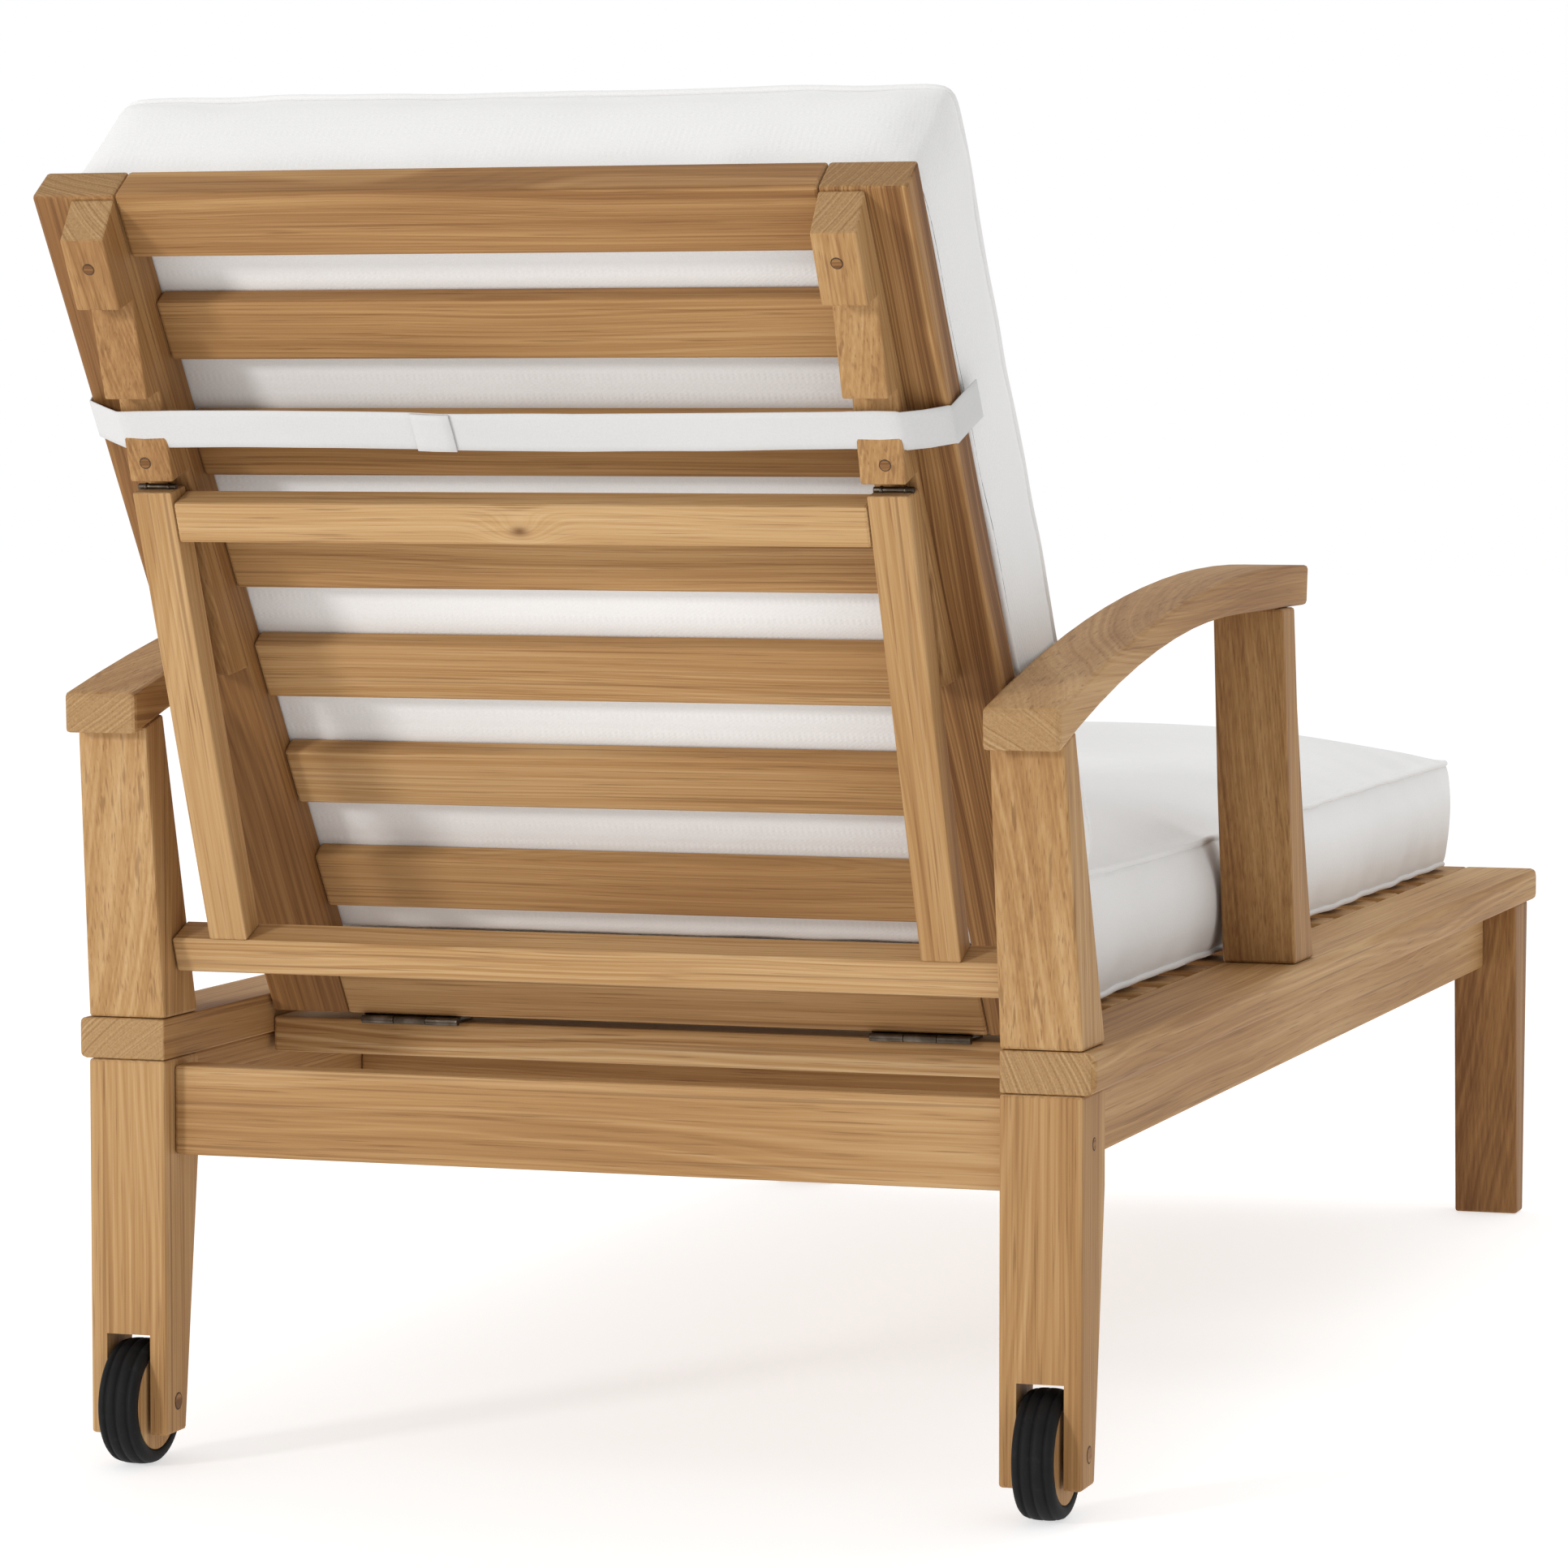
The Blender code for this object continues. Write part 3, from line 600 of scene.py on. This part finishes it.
cloth_axes = add_node(cloth_group, "SeparateXYZ", in_0=cloth_place)
threads = [cloth_calc("SINE", cloth_calc("MULTIPLY", axis, cloth_in.outputs["Thread"]))
           for axis in cloth_axes.outputs]
weave = cloth_calc("MULTIPLY", cloth_calc("MULTIPLY", threads[0], threads[1]), threads[2])
level_weave = cloth_calc("MULTIPLY", cloth_calc("ADD", threads[0], threads[1]), 0.25)
weave = cloth_calc("ADD", level_weave, weave)
slub = add_node(cloth_group, "TexNoise", in_Vector=cloth_place, in_Scale=900.0,
                in_Detail=3.0).outputs["Fac"]
soil = add_node(cloth_group, "TexNoise", in_Vector=cloth_place, in_Scale=5.0,
                in_Detail=3.0).outputs["Fac"]
ripple = add_node(cloth_group, "TexNoise", in_Vector=cloth_place, in_Scale=22.0, in_Detail=3.0,
                  in_Roughness=0.55).outputs["Fac"]
cloth_tone = cloth_calc("MULTIPLY_ADD", slub, 0.5, cloth_calc("MULTIPLY", soil, 0.5))
cloth_colour = ramp(cloth_group, cloth_tone, [
    (0.30, (0.80, 0.795, 0.785)), (0.55, (0.855, 0.85, 0.842)), (0.75, (0.885, 0.88, 0.875))])
cloth_group.links.new(cloth_colour, cloth_out.inputs["Colour"])
cloth_group.links.new(cloth_calc("MULTIPLY_ADD", slub, 0.15, 0.82), cloth_out.inputs["Roughness"])
cloth_height = cloth_calc("ADD", cloth_calc("MULTIPLY", weave, 0.10),
                          cloth_calc("ADD", cloth_calc("MULTIPLY", slub, 0.12), ripple))
cloth_group.links.new(cloth_height, cloth_out.inputs["Height"])


def woven(name, bump_depth, thread=1500.0, shade=0.95):
    """White woven cloth, a little darker with a lower shade; a much lower shade, as on the strap, is
    painted shade.
    """
    material = bpy.data.materials.new(name)
    material.use_nodes = True
    tree = material.node_tree
    shader = tree.nodes["Principled BSDF"]
    group = tree.nodes.new("ShaderNodeGroup")
    group.node_tree = cloth_group
    tree.links.new(add_node(tree, "TexCoord").outputs["Object"], group.inputs["Place"])
    group.inputs["Thread"].default_value = thread
    shaded = blended(tree, 1.0, group.outputs["Colour"], (shade, shade, shade, 1.0), "MULTIPLY")
    bump = add_node(tree, "Bump", in_Strength=0.35, in_Distance=bump_depth,
                    in_Height=group.outputs["Height"])
    tree.links.new(shaded, shader.inputs["Base Color"])
    tree.links.new(group.outputs["Roughness"], shader.inputs["Roughness"])
    tree.links.new(bump.outputs[0], shader.inputs["Normal"])
    shader.inputs["Sheen Weight"].default_value = 0.15
    shader.inputs["Specular IOR Level"].default_value = 0.25
    return material


cover_cloth = woven("cover_cloth", 0.0022)
piping_cloth = woven("piping_cloth", 0.0006)

# Painted shadow for the stitched crease beside a piped seam: a dark grey cloth for a thin cord laid
# where the cloth turns in and shade falls.
seam_shadow_cloth = bpy.data.materials.new("seam_crease")
seam_shadow_cloth.use_nodes = True
crease_tree = seam_shadow_cloth.node_tree
crease_shader = crease_tree.nodes["Principled BSDF"]
crease_place = add_node(crease_tree, "TexCoord").outputs["Object"]
crease_noise = add_node(crease_tree, "TexNoise", in_Vector=crease_place, in_Scale=160.0, in_Detail=3.0)
crease_shadow_colour = ramp(crease_tree, crease_noise.outputs["Fac"], [
    (0.36, (0.13, 0.125, 0.12)), (0.50, (0.26, 0.255, 0.25)), (0.64, (0.55, 0.545, 0.54))])
crease_tree.links.new(crease_shadow_colour, crease_shader.inputs["Base Color"])
crease_shader.inputs["Roughness"].default_value = 0.95

PLUMPING = 4.2  # how many times its first swelling a cover takes on, before its limits
SWELL_STEPS = 20


def soft_limit(value, most):
    """value, levelling off towards most."""
    return math.copysign(most * (1 - math.exp(-abs(value) / most)), value) if most > 0 else 0.0


def seam_tree(seams):
    """A search tree of points every 4 mm along the seams."""
    points = []
    for run in seams:
        for first, last in zip(run, run[1:] + run[:1]):
            steps = max(2, int((last - first).length / 0.004))
            points += [first.lerp(last, i / steps) for i in range(steps)]
    tree = KDTree(len(points))
    for i, point in enumerate(points):
        tree.insert(point, i)
    tree.balance()
    return tree


def swell(name, cad_name, voxel, seams, resting, limits, pucker, side_room):
    """A cushion cover: the CAD solid remeshed, held at its seams and where it rests, and blown up.

    seams are closed runs of points, resting(point) says what lies on the boards, limits(point, move,
    from_seam) caps a point's move, pucker(point) is its crinkle, and side_room(point) its half width.
    """
    mesh = nodes[cad_name].data.copy()
    bm = bmesh.new()
    bm.from_mesh(mesh)
    bmesh.ops.remove_doubles(bm, verts=bm.verts, dist=1e-6)
    bm.to_mesh(mesh)
    bm.free()
    cushion = bpy.data.objects.new(name, mesh)
    bpy.context.scene.collection.objects.link(cushion)
    bpy.ops.object.select_all(action="DESELECT")
    bpy.context.view_layer.objects.active = cushion
    cushion.select_set(True)
    remesh = cushion.modifiers.new("remesh", "REMESH")
    remesh.mode = "VOXEL"
    remesh.voxel_size = voxel * 1.0
    bpy.ops.object.modifier_apply(modifier="remesh")
    tree = seam_tree(seams)
    pucker_reach = voxel * 2.2
    held = cushion.vertex_groups.new(name="held")
    start = []
    for vertex in cushion.data.vertices:
        distance = tree.find(vertex.co)[2]
        hold = 1.0 if distance < voxel * 0.75 or resting(vertex.co) else 0.0
        if distance < pucker_reach:
            vertex.co += pucker(vertex.co) * (1.0 - distance / pucker_reach)
        start.append(vertex.co.copy())
        held.add([vertex.index], hold, "REPLACE")
    cloth = cushion.modifiers.new("cloth", "CLOTH")
    settings = cloth.settings
    settings.quality = 6
    settings.mass = 0.3
    settings.tension_stiffness = 12
    settings.compression_stiffness = 12
    settings.shear_stiffness = 5
    settings.bending_stiffness = 0.6
    settings.use_pressure = True
    settings.uniform_pressure_force = 4.0
    settings.effector_weights.gravity = 0.0
    settings.vertex_group_mass = "held"
    cloth.point_cache.frame_start = 1
    cloth.point_cache.frame_end = SWELL_STEPS
    for step in range(1, SWELL_STEPS + 1):
        bpy.context.scene.frame_set(step)
    graph = bpy.context.evaluated_depsgraph_get()
    blown = cushion.evaluated_get(graph).to_mesh()
    moved = [vertex.co.copy() for vertex in blown.vertices]
    cushion.evaluated_get(graph).to_mesh_clear()
    cushion.modifiers.remove(cloth)
    bpy.context.scene.frame_set(1)
    for vertex, first, last in zip(cushion.data.vertices, start, moved):
        vertex.co = first + limits(first, (last - first) * PLUMPING, tree.find(first)[2])
    smoothing = cushion.modifiers.new("smoothing", "SMOOTH")
    smoothing.factor = 0.5
    smoothing.iterations = 2
    bpy.ops.object.modifier_apply(modifier="smoothing")
    for vertex in cushion.data.vertices:
        room = side_room(vertex.co)
        vertex.co.x = max(-room, min(room, vertex.co.x))
    finer = cushion.modifiers.new("finer", "SUBSURF")
    finer.levels = finer.render_levels = 1
    bpy.ops.object.modifier_apply(modifier="finer")
    cushion.data.shade_smooth()
    cushion.vertex_groups.clear()
    finish(cushion, cover_cloth)
    return cushion


def rounded_run(corners, radius, steps=6):
    """A closed run through the corners, each rounded by a small arc."""
    run = []
    count = len(corners)
    for i, corner in enumerate(corners):
        before = (corners[i - 1] - corner).normalized()
        after = (corners[(i + 1) % count] - corner).normalized()
        first, last = corner + before * radius, corner + after * radius
        for step in range(steps + 1):
            t = step / steps
            run.append(first.lerp(corner, t).lerp(corner.lerp(last, t), t))
    return run


def piping(name, run, cushion, radius, body, lift=0.4, cloth=None, shift=Vector((0, 0, 0))):
    """A cord of the cover's own cloth sewn along a seam, lying on the swollen cover; given the seam
    shadow cloth it is instead a thin dark cord of painted shadow.
    """
    points = []
    for first, last in zip(run, run[1:] + run[:1]):
        steps = max(1, int((last - first).length / 0.010))
        points += [first.lerp(last, i / steps) for i in range(steps)]
    placed = []
    for point in points:
        _, near, normal, _ = cushion.closest_point_on_mesh(point + shift)
        placed.append(near + normal * radius * lift)
    for _ in range(3):
        following = placed[1:] + placed[:1]
        placed = [(placed[i - 1] + placed[i] * 2 + following[i]) / 4 for i in range(len(placed))]
    curve = bpy.data.curves.new(name, "CURVE")
    curve.dimensions = "3D"
    curve.bevel_depth = radius
    curve.bevel_resolution = 3
    spline = curve.splines.new("POLY")
    spline.points.add(len(placed) - 1)
    for target, point in zip(spline.points, placed):
        target.co = (*point, 1.0)
    spline.use_cyclic_u = True
    guide = bpy.data.objects.new(name + "_run", curve)
    bpy.context.scene.collection.objects.link(guide)
    bpy.context.view_layer.update()
    graph = bpy.context.evaluated_depsgraph_get()
    mesh = bpy.data.meshes.new_from_object(guide.evaluated_get(graph))
    bpy.data.objects.remove(guide)
    cord = bpy.data.objects.new(name, mesh)
    bpy.context.scene.collection.objects.link(cord)
    mesh.shade_smooth()
    finish(cord, cloth or piping_cloth)
    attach(cord, body)


noise.seed_set(3)  # noise_vector is set by the clock otherwise, and the crinkles would vary


def crinkle(point, size, depth):
    """A small wandering offset for puckers along a seam."""
    return Vector(noise.noise_vector(point * size)) * depth


# Seat cushion: lies on the slats from the hinge rail to just short of the foot.
seat_low, seat_high = [Vector(corner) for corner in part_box("seat_cushion")]
SEAT_INSET = 0.0035
seat_top, seat_bottom = seat_high.z - SEAT_INSET, seat_low.z + 0.006
seat_side, seat_foot = seat_high.x - SEAT_INSET, seat_low.y + SEAT_INSET
seat_head = seat_high.y - SEAT_INSET
HEAD_SLOPE_RUN = 0.0447
FOOT_SLOPE_RUN = 0.020
SEAT_CORNER = 0.014
SEAT_HALF_WIDTH, POST_PINCH, PINCH_REACH = 0.2965, 0.0040, 0.05
SEAT_CROWN, SEAT_CROWN_REACH = 0.056, 0.080


def seat_run(height, foot, head):
    """The seat cushion's seam at a height, between its foot and its head."""
    corners = [Vector((-seat_side, foot, height)), Vector((seat_side, foot, height)),
               Vector((seat_side, head, height)), Vector((-seat_side, head, height))]
    return rounded_run(corners, SEAT_CORNER)


seat_seams = [seat_run(seat_top, seat_foot, seat_head - HEAD_SLOPE_RUN),
              seat_run(seat_bottom, seat_foot + FOOT_SLOPE_RUN, seat_head)]
post_low, post_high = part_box("front_arm_post_left")


def seat_side_room(point):
    """How far out the seat cushion may stand: pinched where the front arm posts hold it."""
    from_post = max(post_low[1] - point.y, point.y - post_high[1], 0.0)
    return SEAT_HALF_WIDTH - POST_PINCH * max(0.0, 1.0 - from_post / PINCH_REACH)


def seat_limits(point, move, from_seam):
    """Caps a move: the top may rise towards its middle, less near the back cushion."""
    crown = SEAT_CROWN * (1.0 - math.exp(-from_seam / SEAT_CROWN_REACH))
    head_room = min(1.0, max(0.0, seat_head - 0.050 - point.y) / 0.16)
    rise = 0.003 + (crown - 0.003) * head_room if crown > 0.003 else crown
    lengthwise = 0.003 if point.y > seat_head - 0.1 else 0.016
    return Vector((soft_limit(move.x, 0.0095), soft_limit(move.y, lengthwise),
                   soft_limit(move.z, rise)))


seat_cover = swell("seat_cushion_cover", "seat_cushion", 0.009, seat_seams,
                   lambda point: point.z < seat_low.z + 0.002, seat_limits,
                   lambda point: crinkle(point, 26.0, 0.0028), seat_side_room)
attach(seat_cover, "seat_frame")
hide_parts("seat_cushion")
piping("seat_piping_top", seat_seams[0], seat_cover, 0.0026, "seat_frame")
piping("seat_piping_bottom", seat_seams[1], seat_cover, 0.0024, "seat_frame")

# Back cushion: stands on the seat cushion's end and leans on the backrest's slats.
BACK_PAD_REAR, BACK_PAD_FRONT = -0.0296, -0.1445
BACK_PAD_LOW, BACK_PAD_HIGH = 0.048, 0.667
BACK_CORNER, BACK_HALF_WIDTH = 0.016, 0.2932
BACK_CROWN, BACK_CROWN_REACH = 0.026, 0.050
back_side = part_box("back_cushion")[1][0] - 0.002


def out_of_back(point):
    """How far a point stands out of the stiles' back faces."""
    return (Vector(point) - back_point(0, 0, 0)).dot(BACK_OUT)


def back_run(out, low, high, side, top_step=0.0):
    """The back cushion's seam at a depth, its top edge stepped further back."""
    top_out = out + top_step
    corners = [back_point(-side, low, out), back_point(side, low, out),
               back_point(side, high, top_out), back_point(-side, high, top_out)]
    return rounded_run(corners, BACK_CORNER)


back_seams = [back_run(BACK_PAD_REAR - 0.0160, BACK_PAD_LOW + 0.001, BACK_PAD_HIGH - 0.0005,
                       back_side + 0.0015, 0.0090),
              back_run(BACK_PAD_FRONT + 0.0040, BACK_PAD_LOW + 0.003, BACK_PAD_HIGH - 0.003,
                       back_side - 0.001)]


def back_limits(point, move, from_seam):
    """Caps a move: the front may swell towards its middle, and the rear lies on the slats."""
    up, out = move.dot(BACK_UP), move.dot(BACK_OUT)
    up_room = 0.013 if up > 0 else 0.003
    out_room = BACK_CROWN * (1.0 - math.exp(-from_seam / BACK_CROWN_REACH)) if out < 0 else 0.0
    across = Vector((soft_limit(move.x, 0.007), 0, 0))
    return across + BACK_UP * soft_limit(up, up_room) + BACK_OUT * soft_limit(out, out_room)


back_cover = swell("back_cushion_cover", "back_cushion", 0.008, back_seams,
                   lambda point: out_of_back(point) > BACK_PAD_REAR - 0.0016, back_limits,
                   lambda point: crinkle(point, 24.0, 0.0028), lambda point: BACK_HALF_WIDTH)
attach(back_cover, "backrest")
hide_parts("back_cushion")
piping("back_piping_rear", back_seams[0], back_cover, 0.0024, "backrest")
# A thin dark cord just in front of the rear piping: painted shadow in the seam's crease, not a real
# part.
piping("back_seam_rear", back_seams[0], back_cover, 0.0011, "backrest", 0.25, seam_shadow_cloth,
       BACK_OUT * -0.0033)
piping("back_piping_front", back_seams[1], back_cover, 0.0024, "backrest")

# Strap.
# A band of the cover's cloth, 28.5 mm wide, is sewn to the back cushion's sides, and runs round the
# stiles and over the racks. Its two ends are lapped and stitched left of the middle.
STRAP_WIDTH, STRAP_THICK = 0.0285, 0.0011
strap_route = [  # x, up, out of the band's middle line, from the left side to the right one
    (0.2945, 0.506, -0.0440), (0.2938, 0.507, -0.0200), (0.2930, 0.508, 0.0000),
    (0.2915, 0.5085, 0.0014), (0.2780, 0.511, 0.0115), (0.2660, 0.513, 0.0200),
    (0.2635, 0.5135, 0.0212), (0.2500, 0.514, 0.0214), (0.2340, 0.514, 0.0213),
    (0.1500, 0.5136, 0.0212), (0.0620, 0.5130, 0.0215), (0.0400, 0.5128, 0.0226),
    (-0.0500, 0.5110, 0.0212), (-0.1500, 0.5120, 0.0208), (-0.2340, 0.5136, 0.0213),
    (-0.2500, 0.514, 0.0214), (-0.2635, 0.5135, 0.0212), (-0.2660, 0.512, 0.0200),
    (-0.2780, 0.508, 0.0115), (-0.2915, 0.5045, 0.0014), (-0.2930, 0.5035, 0.0000),
    (-0.2945, 0.499, -0.0200), (-0.2965, 0.493, -0.0450)]
BAND_ROWS = 6
BAND_WAVE, BAND_SAG = 0.0007, 0.0008
RACK_SIDE = 0.23  # outside this, the band is pulled tight over the racks
# The strap's cloth is the cover's at shade 0.72: painted shade, darker because the proud band would
# otherwise catch more light than the cover.
strap_cloth = woven("strap_cloth", 0.0006, 1900.0, 0.72)


def band(name, route, width, thick, lift=0.0):
    """A flat band along a route on the backrest, standing across it, with a soft wave."""
    fine = []
    for first, last in zip(route, route[1:]):
        steps = max(1, int((Vector(last) - Vector(first)).length / 0.006))
        fine += [[a + (b - a) * i / steps for a, b in zip(first, last)] for i in range(steps)]
    fine.append(list(route[-1]))
    bm = bmesh.new()
    rows = []
    for x, up, out in fine:
        row = []
        slack = BAND_WAVE if abs(x) < RACK_SIDE else BAND_WAVE * 0.35
        sag = BAND_SAG * noise.noise(Vector((x * 7.0, 0.0, 1.3)))
        for k in range(BAND_ROWS + 1):
            t = k / BAND_ROWS - 0.5
            wave = slack * noise.noise(Vector((x * 16, t * 2.2, 3.7)))
            row.append(bm.verts.new(back_point(x, up + t * width + sag, out + wave + lift)))
        rows.append(row)
    for near, far in zip(rows, rows[1:]):
        for k in range(BAND_ROWS):
            bm.faces.new((near[k], far[k], far[k + 1], near[k + 1]))
    bmesh.ops.recalc_face_normals(bm, faces=bm.faces)
    mesh = bpy.data.meshes.new(name)
    bm.to_mesh(mesh)
    bm.free()
    strip = bpy.data.objects.new(name, mesh)
    bpy.context.scene.collection.objects.link(strip)
    bpy.ops.object.select_all(action="DESELECT")
    bpy.context.view_layer.objects.active = strip
    strip.select_set(True)
    thickness = strip.modifiers.new("thickness", "SOLIDIFY")
    thickness.thickness = thick
    thickness.offset = 0.0
    bpy.ops.object.modifier_apply(modifier="thickness")
    edges = strip.modifiers.new("soft_edges", "BEVEL")
    edges.width = thick * 0.3
    edges.segments = 1
    edges.limit_method = "ANGLE"
    edges.angle_limit = math.radians(60)
    bpy.ops.object.modifier_apply(modifier="soft_edges")
    bpy.ops.object.shade_smooth_by_angle(angle=math.radians(50))
    finish(strip, strap_cloth)
    return strip


strap = band("back_strap", strap_route, STRAP_WIDTH, STRAP_THICK)
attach(strap, "backrest")
lap_route = [(0.0600, 0.5128, 0.0228), (0.0480, 0.5127, 0.0236), (0.0330, 0.5125, 0.0236)]
lap = band("back_strap_lap", lap_route, STRAP_WIDTH * 1.01, STRAP_THICK, 0.0004)
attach(lap, "backrest")
